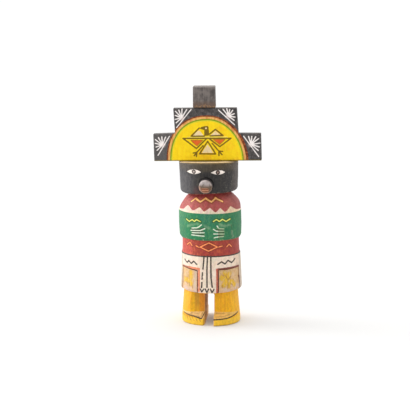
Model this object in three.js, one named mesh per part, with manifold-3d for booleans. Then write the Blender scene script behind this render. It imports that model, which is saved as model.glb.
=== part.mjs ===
// A small carved kachina doll, in millimetres, +Z up, facing -Y, with +X to the viewer's right.
// The figure is whittled from one length of round cottonwood root: head, shoulders, folded
// arms, sash, kilt, legs and feet are a single solid. A stepped board stands on the flat top
// of the head, a block stands on the board, and a round peg is let into the face as a snout.
import * as THREE from 'three';
import { mergeVertices } from 'three/addons/utils/BufferGeometryUtils.js';
import Module from 'manifold-3d';

const wasm = await Module();
wasm.setup();

// Heights of the figure's parts above the floor.
const SOLE_EDGE = 5.8;
const INSTEP_TOP = 10.4;
const KILT_HEM = 29.3;
const WAIST = 60.3;
const ARMS_BOTTOM = 73.2;
const ARMS_TOP = 96.4;
const NECK = 111;
const HEAD_TOP = 137.6;

// Radii of the round log where each part is widest, and what is cut away between them.
const FOOT_RADIUS = 24.8;
const LEG_TOP_RADIUS = 22.8;
const HEM_RADIUS = 25.9;
const WAIST_RADIUS = 24.6;
const SASH_RADIUS = 24;
const ARMS_RADIUS = 26.5;
const NECK_RADIUS = 18.7;
const CHIN_RADIUS = 24.3;
const CROWN_RADIUS = 25.1;
const CHIN_ROUND = 2.8;
const LOG_SEGMENTS = 48;

// The shoulders are the end of an ellipse that the chin hides before it closes.
const SHOULDER_CENTRE = 95;
const SHOULDER_HEIGHT = 20;
const SHOULDER_RADIUS = 26.2;
const SHOULDER_STEPS = 7;

// Legs: how far forward the shins and the flat insteps reach, and the slot between them.
const SHIN_FRONT = 17.4;
const SHIN_MIDDLE = 12;
const SHIN_ROUNDING = 0.028;
const SOLE_EDGE_RISE = 3.2;
const LEFT_FOOT_SHORTER = 0.91;
const CALF_BACK = 19.5;
const HEEL_TOP = 8;
const SLOT_LEFT = -4.1;
const SLOT_RIGHT = 3.6;
const SLOT_TOP = 26.4;
const TOE_SPLAY = 2;

// Sunk panels at the sides of the kilt, which run off its hem.
const PANEL_DEPTH = 0.8;
const PANEL_TOP = 48.6;
const LEFT_PANEL = [-68, -24];
const RIGHT_PANEL = [18.5, 71];

// The root isn't straight: its middle drifts sideways as it rises, given as [height, shift].
const DRIFT = [
  [0, 0], [28, -0.3], [31, 0.1], [46, 0.3], [58, 0], [73, -0.7],
  [96, -1.2], [103, -0.1], [109, -0.4], [112, -1.9], [138, -2.4],
];
const LEAN = THREE.MathUtils.degToRad(1);

// The board, the block on it and the snout.
const GAP = 0.3;
const BOARD_THICKNESS = 6.5;
const BOARD_FRONT = -9.1;
const BOARD_MIDDLE = -2.4;
const LOWER_STEP = { half: 44.8, height: 22.7 };
const UPPER_STEP = { half: 26.4, height: 21.4, footShift: -0.6, topShift: -1.7 };
const BOARD_EDGE = 0.5;
const BLOCK = { footHalf: 9.5, topHalf: 9.3, height: 18.4, thickness: 8.5, shift: -2.2, edge: 0.7 };
const SNOUT = { radius: 5.85, height: 121.9, reach: 33.2, seat: 3, round: 2.2, droop: 4, turn: 1 };

// Position helpers: the sideways drift at a height, and a point on a circle about the Z axis.
function driftAt(height) {
  for (let i = 1; i < DRIFT.length; i += 1) {
    const [lowHeight, lowShift] = DRIFT[i - 1];
    const [highHeight, highShift] = DRIFT[i];
    if (height <= highHeight) {
      const part = Math.max(0, (height - lowHeight) / (highHeight - lowHeight));
      return THREE.MathUtils.lerp(lowShift, highShift, part);
    }
  }
  return DRIFT.at(-1)[1];
}

// A geometry whose shared vertices are merged becomes a solid that can be cut and joined.
function toSolid(geometry) {
  const bare = geometry.index ? geometry.toNonIndexed() : geometry.clone();
  bare.deleteAttribute('normal');
  bare.deleteAttribute('uv');
  const merged = mergeVertices(bare, 1e-4);
  return new wasm.Manifold(new wasm.Mesh({
    numProp: 3,
    vertProperties: new Float32Array(merged.attributes.position.array),
    triVerts: new Uint32Array(merged.index.array),
  }));
}

function toMesh(name, solid, look) {
  const result = solid.getMesh();
  const geometry = new THREE.BufferGeometry();
  geometry.setAttribute('position', new THREE.BufferAttribute(result.vertProperties, 3));
  geometry.setIndex(new THREE.BufferAttribute(result.triVerts, 1));
  geometry.computeVertexNormals();
  const mesh = new THREE.Mesh(geometry, new THREE.MeshStandardMaterial(look));
  mesh.name = name;
  return mesh;
}

// Turns a profile of (radius, height) points, given from the foot up, into a body about Z.
function turned(points, segments) {
  const outline = points.map(([radius, height]) => new THREE.Vector2(radius, height));
  return new THREE.LatheGeometry(outline, segments).rotateX(Math.PI / 2);
}

// A flat outline in X and Z, given its thickness along Y from a front face.
function slab(outline, front, thickness) {
  const shape = new THREE.Shape(outline.map(([x, z]) => new THREE.Vector2(x, z)));
  const options = { depth: thickness, bevelEnabled: false };
  return new THREE.ExtrudeGeometry(shape, options).rotateX(Math.PI / 2).translate(0, front + thickness, 0);
}

// The outline of the whole figure, from the middle of the sole to the middle of the crown.
function figureProfile() {
  const points = [[0, 0], [FOOT_RADIUS - 0.7, 0], [FOOT_RADIUS, 0.9], [FOOT_RADIUS, SOLE_EDGE]];
  const legSteps = 5;
  for (let i = 0; i <= legSteps; i += 1) {
    const height = THREE.MathUtils.lerp(SOLE_EDGE + 1.2, KILT_HEM - 0.3, i / legSteps);
    points.push([THREE.MathUtils.lerp(FOOT_RADIUS - 0.2, LEG_TOP_RADIUS, i / legSteps), height]);
  }
  points.push([HEM_RADIUS - 0.6, KILT_HEM], [HEM_RADIUS, KILT_HEM + 1.4]);
  points.push([25.3, 43], [WAIST_RADIUS, WAIST - 0.2]);
  points.push([WAIST_RADIUS - 0.3, WAIST + 0.2], [SASH_RADIUS, 67], [SASH_RADIUS, ARMS_BOTTOM - 0.5]);
  points.push([ARMS_RADIUS - 1.3, ARMS_BOTTOM], [ARMS_RADIUS - 0.3, ARMS_BOTTOM + 2.2]);
  points.push([ARMS_RADIUS, 85], [ARMS_RADIUS - 0.2, ARMS_TOP]);
  for (let i = 0; i <= SHOULDER_STEPS; i += 1) {
    const height = THREE.MathUtils.lerp(ARMS_TOP + 0.4, NECK - 0.4, i / SHOULDER_STEPS);
    const part = (height - SHOULDER_CENTRE) / SHOULDER_HEIGHT;
    points.push([SHOULDER_RADIUS * Math.sqrt(1 - part * part) - 0.2, height]);
  }
  points.push([NECK_RADIUS, NECK]);
  const chinSteps = 4;
  for (let i = 0; i <= chinSteps; i += 1) {
    const angle = (i / chinSteps) * (Math.PI / 2);
    points.push([
      CHIN_RADIUS - CHIN_ROUND * (1 - Math.sin(angle)),
      NECK + 0.3 + CHIN_ROUND * (1 - Math.cos(angle)),
    ]);
  }
  points.push([24.7, 125], [CROWN_RADIUS, HEAD_TOP - 0.7], [CROWN_RADIUS - 0.5, HEAD_TOP], [0, HEAD_TOP]);
  return points;
}

// How far forward a leg reaches at a place across the figure: the log's round is cut back to
// a shin, and the instep slopes from the shin's foot down to the painted edge of the sole.
function frontLimit(across, height) {
  const trim = across < SLOT_LEFT / 2 ? LEFT_FOOT_SHORTER : 1;
  const round = trim * Math.sqrt(Math.max(0, FOOT_RADIUS ** 2 - across ** 2));
  const aside = Math.abs(across) - SHIN_MIDDLE;
  const shin = Math.min(round, SHIN_FRONT - SHIN_ROUNDING * aside ** 2);
  const edge = SOLE_EDGE + SOLE_EDGE_RISE * (across / FOOT_RADIUS) ** 4;
  const climb = THREE.MathUtils.clamp((height - edge) / Math.max(0.5, INSTEP_TOP - edge), 0, 1);
  return THREE.MathUtils.lerp(round, shin, climb);
}

function shapeFigure(geometry) {
  const position = geometry.attributes.position;
  for (let i = 0; i < position.count; i += 1) {
    const height = position.getZ(i);
    let across = position.getX(i);
    let along = position.getY(i);
    if (height < KILT_HEM - 0.1) {
      along = Math.max(along, -frontLimit(across, height));
      along = Math.min(along, height > HEEL_TOP ? CALF_BACK : FOOT_RADIUS);
    }
    const rise = THREE.MathUtils.clamp((height - 125) / (HEAD_TOP - 125), 0, 1);
    position.setXYZ(i, across + driftAt(height), along, height + rise * across * Math.tan(LEAN));
  }
  return geometry;
}

// The slot that parts the legs, a little wider at the toes of the splayed left foot.
function legSlot() {
  const reach = 2 * FOOT_RADIUS;
  const outline = [
    [SLOT_LEFT - 0.3, -1], [SLOT_RIGHT, -1], [SLOT_RIGHT + 0.1, SLOT_TOP - 1],
    [SLOT_RIGHT - 1.2, SLOT_TOP], [SLOT_LEFT + 1.2, SLOT_TOP], [SLOT_LEFT, SLOT_TOP - 1],
  ];
  const slot = toSolid(slab(outline, -reach, 2 * reach));
  const toe = new THREE.Shape([
    new THREE.Vector2(SLOT_LEFT - 0.2, -SHIN_FRONT + 1),
    new THREE.Vector2(SLOT_LEFT - TOE_SPLAY - 0.3, -FOOT_RADIUS - 1),
    new THREE.Vector2(0, -FOOT_RADIUS - 1),
    new THREE.Vector2(0, -SHIN_FRONT + 1),
  ]);
  const wedge = new THREE.ExtrudeGeometry(toe, { depth: INSTEP_TOP + 2, bevelEnabled: false });
  return slot.add(toSolid(wedge.translate(0, 0, -1)));
}

// One sunk panel: a ring just under the kilt's surface, kept only between two bearings, which
// are measured from the front towards the viewer's right.
function kiltPanel([from, to]) {
  const floorAt = (height) => {
    const part = (height - KILT_HEM) / (WAIST - KILT_HEM);
    return THREE.MathUtils.lerp(HEM_RADIUS, WAIST_RADIUS, part) - PANEL_DEPTH;
  };
  const low = KILT_HEM - 0.1;
  const far = HEM_RADIUS + 6;
  const ring = turned([
    [floorAt(low), low], [far, low], [far, PANEL_TOP], [floorAt(PANEL_TOP), PANEL_TOP], [floorAt(low), low],
  ], 2 * LOG_SEGMENTS);
  const wedge = new THREE.Shape();
  wedge.moveTo(0, 0);
  const steps = 6;
  for (let i = 0; i <= steps; i += 1) {
    const bearing = THREE.MathUtils.degToRad(THREE.MathUtils.lerp(from, to, i / steps));
    wedge.lineTo(2 * far * Math.sin(bearing), -2 * far * Math.cos(bearing));
  }
  const sector = new THREE.ExtrudeGeometry(wedge, { depth: WAIST, bevelEnabled: false });
  return toSolid(ring).intersect(toSolid(sector));
}

// The snout is a whittled dowel with a rounded end, let into a drilled seat in the face.
const snoutPlace = new THREE.Group();
snoutPlace.position.set(driftAt(SNOUT.height), 0, SNOUT.height);
snoutPlace.rotation.set(THREE.MathUtils.degToRad(SNOUT.droop), 0, THREE.MathUtils.degToRad(-SNOUT.turn));
snoutPlace.updateMatrix();

function snoutRod(radius, from, to, round) {
  const points = [[0, from], [radius, from], [radius, to - round]];
  const steps = 4;
  for (let i = 1; i <= steps; i += 1) {
    const angle = (i / steps) * (Math.PI / 2);
    const inward = round * 1.3 * (1 - Math.cos(angle));
    points.push([radius - inward, to - round + round * Math.sin(angle)]);
  }
  points.push([0, to]);
  return turned(points, 24).rotateX(Math.PI / 2).applyMatrix4(snoutPlace.matrix);
}

const faceDepth = CHIN_RADIUS + 0.3 - SNOUT.seat;
const seat = snoutRod(SNOUT.radius + GAP, faceDepth - GAP, SNOUT.reach + 4, 0.1);
const snout = toMesh('snout', toSolid(snoutRod(SNOUT.radius, faceDepth, SNOUT.reach, SNOUT.round)), {
  color: 0x8f857c, roughness: 0.75, metalness: 0,
});

const figure = toSolid(shapeFigure(turned(figureProfile(), LOG_SEGMENTS)))
  .subtract(legSlot())
  .subtract(kiltPanel(LEFT_PANEL))
  .subtract(kiltPanel(RIGHT_PANEL))
  .subtract(toSolid(seat));
const body = toMesh('body', figure, { color: 0x9c4a44, roughness: 0.75, metalness: 0 });

// The board is sawn with two steps. It is modelled upright about the middle of its foot.
function steppedOutline() {
  const topHeight = LOWER_STEP.height + UPPER_STEP.height;
  return [
    [-LOWER_STEP.half, 0],
    [LOWER_STEP.half, 0],
    [LOWER_STEP.half - 0.3, LOWER_STEP.height],
    [UPPER_STEP.footShift + UPPER_STEP.half, LOWER_STEP.height + 0.2],
    [UPPER_STEP.topShift + UPPER_STEP.half, topHeight],
    [UPPER_STEP.topShift - UPPER_STEP.half, topHeight],
    [UPPER_STEP.footShift - UPPER_STEP.half, LOWER_STEP.height + 0.6],
    [-LOWER_STEP.half - 0.4, LOWER_STEP.height],
  ];
}

// Extrudes an outline with its front and back edges broken by a small bevel.
function bevelledSlab(outline, thickness, edge) {
  const shape = new THREE.Shape(outline.map(([x, z]) => new THREE.Vector2(x, z)));
  const geometry = new THREE.ExtrudeGeometry(shape, {
    depth: thickness - 2 * edge,
    bevelSize: edge,
    bevelThickness: edge,
    bevelOffset: -edge,
    bevelSegments: 1,
  });
  return geometry.rotateX(Math.PI / 2).translate(0, thickness - edge, 0);
}

const boardSolid = toSolid(bevelledSlab(steppedOutline(), BOARD_THICKNESS, BOARD_EDGE));
const tableta = toMesh('tableta', boardSolid, { color: 0x3b393a, roughness: 0.7, metalness: 0 });

const blockOutline = [
  [-BLOCK.footHalf, 0],
  [BLOCK.footHalf, 0],
  [BLOCK.topHalf, BLOCK.height - 0.6],
  [BLOCK.topHalf - 2, BLOCK.height],
  [1.5 - BLOCK.topHalf, BLOCK.height - 0.1],
  [-BLOCK.topHalf, BLOCK.height - 0.7],
];
const blockSolid = toSolid(bevelledSlab(blockOutline, BLOCK.thickness, BLOCK.edge));
const block = toMesh('crown_block', blockSolid, { color: 0x736c67, roughness: 0.85, metalness: 0 });
block.position.set(BLOCK.shift, (BOARD_THICKNESS - BLOCK.thickness) / 2, LOWER_STEP.height + UPPER_STEP.height + GAP);

const crown = new THREE.Group();
const headMiddle = BOARD_MIDDLE - driftAt(HEAD_TOP);
crown.position.set(BOARD_MIDDLE, BOARD_FRONT, HEAD_TOP + GAP + headMiddle * Math.tan(LEAN));
crown.rotation.y = -LEAN;
crown.add(tableta, block);

// The whole is moved so that the origin is under the middle of its bounding box.
const doll = new THREE.Group();
doll.add(body, snout, crown);
doll.updateMatrixWorld(true);
const bounds = new THREE.Box3().setFromObject(doll, true);
const middle = bounds.getCenter(new THREE.Vector3());
doll.position.set(-middle.x, -middle.y, -bounds.min.z);

export default doll;
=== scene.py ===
import math

import bmesh
import bpy
import numpy as np
from mathutils import Matrix, Vector, noise


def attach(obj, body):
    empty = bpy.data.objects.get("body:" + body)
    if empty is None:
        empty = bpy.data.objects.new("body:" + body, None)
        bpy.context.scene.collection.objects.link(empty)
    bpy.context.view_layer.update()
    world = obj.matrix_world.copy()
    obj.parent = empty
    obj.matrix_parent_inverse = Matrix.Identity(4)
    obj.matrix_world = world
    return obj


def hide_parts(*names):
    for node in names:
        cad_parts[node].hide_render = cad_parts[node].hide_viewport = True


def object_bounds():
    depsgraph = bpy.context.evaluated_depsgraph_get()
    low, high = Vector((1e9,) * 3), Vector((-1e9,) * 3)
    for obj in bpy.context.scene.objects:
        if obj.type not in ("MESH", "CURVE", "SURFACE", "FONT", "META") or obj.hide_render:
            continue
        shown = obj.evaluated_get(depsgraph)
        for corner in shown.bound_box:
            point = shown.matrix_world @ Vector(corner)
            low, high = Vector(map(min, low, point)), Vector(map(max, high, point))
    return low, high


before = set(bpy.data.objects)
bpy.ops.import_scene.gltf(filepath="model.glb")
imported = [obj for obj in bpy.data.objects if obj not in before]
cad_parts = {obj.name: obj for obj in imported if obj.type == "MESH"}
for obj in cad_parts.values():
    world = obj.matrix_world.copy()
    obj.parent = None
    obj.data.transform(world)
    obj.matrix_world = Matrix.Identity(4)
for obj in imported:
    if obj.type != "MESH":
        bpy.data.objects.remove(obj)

cad_low, cad_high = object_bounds()

# The stage: the doll stands on a small sheet of white card before a bright backdrop, in a room
# that is dark in front. A large soft lamp lights it from the viewer's left, another from
# overhead, and a long lens looks at it from a little above and to its right.
MM = 0.001
CAMERA_DISTANCE = 1.596
CAMERA_ABOVE = math.radians(10.3)
CAMERA_RIGHT = math.radians(4.5)
CAMERA_AIM = Vector((-0.0026, 0.003, 0.099))
LENS = 166.8
SIDE_LAMP = {"left": 98, "above": 20, "power": 2.25, "spread": 40}
TOP_LAMP = {"left": 20, "above": 80, "power": 1.1, "spread": 70}
CARD_SIZE = 0.8
CARD_COLOUR = (0.6, 0.597, 0.59, 1)
CARD_GLOW = 0.13
BACKDROP = 1.25
ROOM = 0.75
SEEN_BACKDROP = 1.03


def out_from(middle, distance, bearing, above):
    """A point out from middle: bearing is from the doll's front towards the viewer's right."""
    level = distance * math.cos(above)
    return middle + Vector((
        level * math.sin(bearing),
        -level * math.cos(bearing),
        distance * math.sin(above),
    ))


def aimed(name, data, place, target):
    """A camera or a lamp, turned to look at target."""
    made = bpy.data.objects.new(name, data)
    made.location = place
    made.rotation_euler = (target - place).to_track_quat("-Z", "Y").to_euler()
    bpy.context.scene.collection.objects.link(made)
    return made


lens = bpy.data.cameras.new("camera")
lens.lens = LENS
camera_place = out_from(CAMERA_AIM, CAMERA_DISTANCE, CAMERA_RIGHT, CAMERA_ABOVE)
bpy.context.scene.camera = aimed("camera", lens, camera_place, CAMERA_AIM)

doll_middle = (cad_low + cad_high) / 2
for name, facts in (("side lamp", SIDE_LAMP), ("top lamp", TOP_LAMP)):
    lamp = bpy.data.lights.new(name, "SUN")
    lamp.energy = facts["power"]
    lamp.angle = math.radians(facts["spread"])
    away = out_from(doll_middle, 1, math.radians(-facts["left"]), math.radians(facts["above"]))
    aimed(name, lamp, away, doll_middle)

bpy.context.scene.view_settings.view_transform = "Standard"


class Wire:
    """A shader socket. Sums on wires add Math nodes, and node() adds any other node."""

    def __init__(self, tree, socket=None):
        self.tree = tree
        self.socket = socket

    def node(self, kind, settings=None, sockets=None, output=0):
        """Adds a node, gives it its settings and then its sockets' values or links."""
        made = self.tree.nodes.new("ShaderNode" + kind)
        for name, value in (settings or {}).items():
            if name == "stops":
                self.fill_ramp(made.color_ramp, value)
            else:
                setattr(made, name, value)
        for name, value in (sockets or {}).items():
            if isinstance(value, Wire):
                self.tree.links.new(value.socket, made.inputs[name])
            else:
                made.inputs[name].default_value = value
        return Wire(self.tree, made.outputs[output] if made.outputs else None)

    @staticmethod
    def fill_ramp(ramp, stops):
        """Sets a ramp's interpolation and its (place, colour) stops."""
        ramp.interpolation = stops[0]
        while len(ramp.elements) < len(stops) - 1:
            ramp.elements.new(1)
        for element, (place, colour) in zip(ramp.elements, stops[1:]):
            element.position = place
            element.color = colour

    def maths(self, operation, first, second=0.0):
        return self.node("Math", {"operation": operation}, {0: first, 1: second})

    def __add__(self, other):
        return self.maths("ADD", self, other)

    def __sub__(self, other):
        return self.maths("SUBTRACT", self, other)

    def __mul__(self, other):
        return self.maths("MULTIPLY", self, other)

    def __truediv__(self, other):
        return self.maths("DIVIDE", self, other)

    def __rsub__(self, other):
        return self.maths("SUBTRACT", other, self)

    __radd__ = __add__

    def size(self):
        return self.maths("ABSOLUTE", self)

    def most(self, other):
        return self.maths("MAXIMUM", self, other)

    def ramp(self, low, high, start=0.0, end=1.0):
        """Goes smoothly from start, where the value is low, to end, where it is high."""
        return self.node(
            "MapRange",
            {"interpolation_type": "SMOOTHSTEP"},
            {"Value": self, "From Min": low, "From Max": high, "To Min": start, "To Max": end},
        )

    def mix(self, under, over):
        """Lays the colour over on the colour under, by as much as this value says."""
        settings = {"data_type": "RGBA", "blend_type": "MIX"}
        return self.node("Mix", settings, {0: self, 6: under, 7: over}, output=2)


def colour(red, green, blue):
    """A linear colour from one as a paint chart gives it, 0 to 255."""
    def linear(value):
        value /= 255
        return value / 12.92 if value <= 0.04045 else ((value + 0.055) / 1.055) ** 2.4
    return (linear(red), linear(green), linear(blue), 1)


def coat(base, *layers):
    """Lays colours over a base in turn, each given as how much of it, red, green and blue."""
    for amount, *tint in layers:
        base = amount.mix(base, colour(*tint))
    return base


def new_material(name):
    """An empty material, and a wire to hang its nodes on."""
    material = bpy.data.materials.new(name)
    material.use_nodes = True
    material.node_tree.nodes.clear()
    return material, Wire(material.node_tree)


def mottle(wire, place, size, detail=3, stretch=(1, 1, 1), shift=0.0):
    """Uneven tone from 0 to 1 in patches about size metres across, stretched along the axes."""
    scaled = wire.node(
        "Mapping", {"vector_type": "POINT"},
        {"Vector": place, "Scale": stretch, "Location": (shift, shift, shift)},
    )
    return wire.node(
        "TexNoise", {"noise_dimensions": "3D"},
        {"Vector": scaled, "Scale": 1 / size, "Detail": detail, "Roughness": 0.6},
    )


def shaded(wire, base, tone):
    """Makes a colour lighter or darker by a tone about 1."""
    grey = wire.node("CombineColor", None, {0: tone, 1: tone, 2: tone})
    settings = {"data_type": "RGBA", "blend_type": "MULTIPLY"}
    return wire.node("Mix", settings, {0: 1.0, 6: base, 7: grey}, output=2)


def painted(wire, base, rough, height, relief, specular, glow=0.0):
    """Joins the colour, the roughness and the relief, in metres, to the surface."""
    bump = wire.node("Bump", None, {"Strength": 1.0, "Distance": relief, "Height": height})
    shader = wire.node(
        "BsdfPrincipled", None,
        {
            "Base Color": base, "Roughness": rough, "Normal": bump, "Specular IOR Level": specular,
            "Emission Color": (1, 1, 1, 1), "Emission Strength": glow,
        },
    )
    wire.node("OutputMaterial", None, {"Surface": shader})


world = bpy.data.worlds.new("studio")
world.use_nodes = True
world.node_tree.nodes.clear()
wire = Wire(world.node_tree)
backwards = wire.node("SeparateXYZ", None, {0: wire.node("TexCoord", output=0)}, output=1)
glow = backwards.ramp(-0.35, 0.35, ROOM, BACKDROP)
seen = wire.node("LightPath", output=0)
strength = glow + seen * (SEEN_BACKDROP - glow)
sky = wire.node("Background", None, {"Color": (1, 1, 1, 1), "Strength": strength})
wire.node("OutputWorld", None, {"Surface": sky})
bpy.context.scene.world = world

card_mesh = bmesh.new()
bmesh.ops.create_grid(card_mesh, x_segments=1, y_segments=1, size=CARD_SIZE / 2)
card_data = bpy.data.meshes.new("card")
card_mesh.to_mesh(card_data)
card_mesh.free()
card = bpy.data.objects.new("card", card_data)
bpy.context.scene.collection.objects.link(card)
card_look, wire = new_material("white card")
tooth = mottle(wire, wire.node("TexCoord", output=3), 0.002)
painted(wire, CARD_COLOUR, 0.8, tooth, 0.00002, 0.2, CARD_GLOW)
card.data.materials.append(card_look)

# The figure: head, shoulders, folded arms, sash, kilt, legs and feet, whittled from one round
# cottonwood root and painted by hand with a fine brush. Sizes are in millimetres from the middle
# of the feet, and bearings in degrees from the doll's front towards the viewer's right.
SOLE_EDGE = 5.8
INSTEP_TOP = 10.4
HEM = 29.3
WAIST = 60.3
ARMS_BOTTOM = 73.2
ARMS_TOP = 96.4
NECK = 111
HEAD_TOP = 137.6
FOOT_RADIUS = 24.8
LEG_TOP_RADIUS = 22.8
HEM_RADIUS = 26.1
WAIST_RADIUS = 24.9
SASH_RADIUS = 24.0
ARMS_RADIUS = 26.5
NECK_RADIUS = 18.7
CHIN_RADIUS = 24.3
CROWN_RADIUS = 25.1
CHIN_ROUND = 2.8
KILT_SWELL = (25.5, 43)
CHEEK = (24.7, 125)
CHIN_EDGE = [-140, -70, -45, -7, 11, 28, 62, 90, 140], [0, -0.7, -0.55, 0.5, 1, 0.9, 1.1, 1.3, 0]
HEM_EDGE = [-80, -40, 30, 75], [0, -0.7, -0.7, 0]
DENTS = [(0.12, 9, 1), (0.05, 2.2, 2)]
SHOULDER = {"centre": 95, "height": 20, "radius": 26.2, "steps": 8}
SHIN_FRONT = 17.4
SHIN_MIDDLE = 12
SHIN_ROUNDING = 0.028
SOLE_EDGE_RISE = 3.2
LEFT_FOOT_SHORTER = 0.91
CALF_BACK = 19.5
HEEL_TOP = 8
SLOT = {"left": -4.1, "right": 3.6, "top": 26.4, "splay": 2.3, "corner": 1.2, "step": 1.1}
PANEL_DEPTH = 0.75
PANEL_TOP = 48.6
PANELS = [(-68, -24), (18.5, 71)]
PANEL_WALL = 0.7
DRIFT = [
    (0, 0), (28, -0.3), (31, -0.1), (46, 0), (58, -0.3), (73, -0.7),
    (96, -1.2), (103, -0.1), (109, -0.4), (112, -1.9), (138, -2.4),
]
LEAN = math.radians(1)
LEAN_FROM = 125
RING_STEP = 0.56
CAP_STEP = 2.5
SPIN_STEPS = 284
ROOT_RADIUS = 25
AXIS_ASIDE = 0.0028
SNOUT = {"radius": 5.85, "height": 121.9, "reach": 33.2, "seat": 3, "round": 2.2, "droop": 4, "turn": 1}
SEAT_GAP = 0.3

axis = Vector((AXIS_ASIDE, cad_high.y - ARMS_RADIUS * MM, 0))


def set_down(mesh):
    """Turns a piece modelled in millimetres about the feet into metres in the frame."""
    mesh.transform(Matrix.Translation(axis) @ Matrix.Scale(MM, 4))


def points_of(mesh):
    """The mesh's points as rows of three numbers."""
    flat = np.empty(3 * len(mesh.vertices), np.float32)
    mesh.vertices.foreach_get("co", flat)
    return flat.reshape(-1, 3).astype(float)


def move_points(mesh, points):
    mesh.vertices.foreach_set("co", points.astype(np.float32).ravel())
    mesh.update()


def mesh_from(shape, name):
    """Ends a shape: its normals point outwards, and it becomes a mesh."""
    bmesh.ops.remove_doubles(shape, verts=shape.verts, dist=0.001)
    bmesh.ops.recalc_face_normals(shape, faces=shape.faces)
    mesh = bpy.data.meshes.new(name)
    shape.to_mesh(mesh)
    shape.free()
    return mesh


def piece_from(mesh, name):
    made = bpy.data.objects.new(name, mesh)
    bpy.context.scene.collection.objects.link(made)
    return made


def paint_on(mesh, name, values):
    """Keeps a number at each of the mesh's points, for its material to read."""
    layer = mesh.attributes.new(name, "FLOAT", "POINT")
    layer.data.foreach_set("value", np.asarray(values, np.float32))


def rounded_edges(mesh, sharpest):
    """Shades the mesh as smooth, except over edges sharper than that many degrees."""
    mesh.shade_smooth()
    mesh.set_sharp_from_angle(angle=math.radians(sharpest))


def add_line(shape, points, step, cap_step):
    """Adds a line through (radius, height) points, cut up evenly: coarser where it meets the axis."""
    made = [shape.verts.new((radius, 0, height)) for radius, height in points]
    edges = [shape.edges.new(pair) for pair in zip(made, made[1:])]
    for edge in edges:
        on_axis = min(point.co.x for point in edge.verts) < 0.001
        cuts = int(edge.calc_length() / (cap_step if on_axis else step))
        if cuts:
            bmesh.ops.subdivide_edges(shape, edges=[edge], cuts=cuts)


def spun(shape, steps):
    """Turns the shape's line once about the upright axis."""
    line = shape.verts[:] + shape.edges[:]
    bmesh.ops.spin(
        shape, geom=line, cent=(0, 0, 0), axis=(0, 0, 1), dvec=(0, 0, 0),
        angle=2 * math.pi, steps=steps, use_merge=True, use_duplicate=False,
    )


def figure_outline():
    """The outline of the figure, from the middle of its sole to the middle of its crown."""
    points = [(0, 0), (FOOT_RADIUS - 0.7, 0), (FOOT_RADIUS, 0.9), (FOOT_RADIUS, SOLE_EDGE)]
    points += [(FOOT_RADIUS - 0.2, SOLE_EDGE + 1.2), (LEG_TOP_RADIUS, HEM - 0.3)]
    points += [(HEM_RADIUS - 0.6, HEM), (HEM_RADIUS, HEM + 1.4), KILT_SWELL]
    points += [(WAIST_RADIUS, WAIST - 0.2), (WAIST_RADIUS - 0.6, WAIST + 0.2)]
    points += [(SASH_RADIUS, 67), (SASH_RADIUS, ARMS_BOTTOM - 0.5)]
    points += [(ARMS_RADIUS - 1.3, ARMS_BOTTOM), (ARMS_RADIUS - 0.3, ARMS_BOTTOM + 2.2)]
    points += [(ARMS_RADIUS, 85), (ARMS_RADIUS - 0.2, ARMS_TOP)]
    for step in range(SHOULDER["steps"]):
        part = step / (SHOULDER["steps"] - 1)
        height = ARMS_TOP + 0.4 + part * (NECK - ARMS_TOP - 0.8)
        rise = (height - SHOULDER["centre"]) / SHOULDER["height"]
        points.append((SHOULDER["radius"] * math.sqrt(1 - rise * rise) - 0.2, height))
    points.append((NECK_RADIUS, NECK))
    for angle in (0, 18, 36, 54, 72, 90):
        inward = CHIN_ROUND * (1 - math.sin(math.radians(angle)))
        upward = CHIN_ROUND * (1 - math.cos(math.radians(angle)))
        points.append((CHIN_RADIUS - inward, NECK + 0.3 + upward))
    points += [CHEEK, (CROWN_RADIUS, HEAD_TOP - 0.7), (CROWN_RADIUS - 0.5, HEAD_TOP)]
    points.append((0, HEAD_TOP))
    return points


def towards(values, low, high):
    """0 below low and 1 above high, going smoothly from one to the other."""
    part = np.clip((values - low) / (high - low), 0, 1)
    return part * part * (3 - 2 * part)


def drift(height):
    """How far the root's middle has wandered sideways at a height."""
    return np.interp(height, [place for place, _ in DRIFT], [shift for _, shift in DRIFT])


def front_limit(across, height):
    """How far forward a leg reaches: the round of the root cut back to a shin and an instep."""
    trim = np.where(across < SLOT["left"] / 2, LEFT_FOOT_SHORTER, 1)
    bow = trim * np.sqrt(np.maximum(0, FOOT_RADIUS ** 2 - across ** 2))
    aside = np.abs(across) - SHIN_MIDDLE
    shin = np.minimum(bow, SHIN_FRONT - SHIN_ROUNDING * aside ** 2)
    edge = SOLE_EDGE + SOLE_EDGE_RISE * (across / FOOT_RADIUS) ** 4
    climb = np.clip((height - edge) / np.maximum(0.5, INSTEP_TOP - edge), 0, 1)
    return bow + (shin - bow) * climb


def flats(bearing, edges, share):
    """A knife leaves flats between these bearings: the share of the radius that is left."""
    ring = np.array(sorted(edges))
    low = ring[np.searchsorted(ring, bearing, side="right") - 1]
    low = np.where(bearing < ring[0], ring[-1] - 360, low)
    high = ring[np.searchsorted(ring, bearing, side="right") % len(ring)]
    high = np.where(high <= low, high + 360, high)
    half = np.radians(high - low) / 2
    off = np.radians(bearing) - np.radians(low) - half
    return 1 - share * (1 - np.cos(half) / np.cos(off))


def lumps(points, size, seed):
    """Slow unevenness from -1 to 1 over a surface, in lumps about size across."""
    offset = Vector((seed * 17.3, seed * 5.1, seed * 11.7))
    return np.array([noise.noise(Vector(point) / size + offset) for point in points])


def uneven(bearing, height):
    """How far the carved edges run up (or down) from level at a bearing and height."""
    chin = np.interp(bearing, *CHIN_EDGE)
    near_chin = towards(height, 107.5, 111) * (1 - towards(height, 114, 122))
    hem = np.interp(bearing, *HEM_EDGE)
    near_hem = towards(height, 25, 28.6) * (1 - towards(height, 33, 45))
    return chin * near_chin + hem * near_hem


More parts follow.
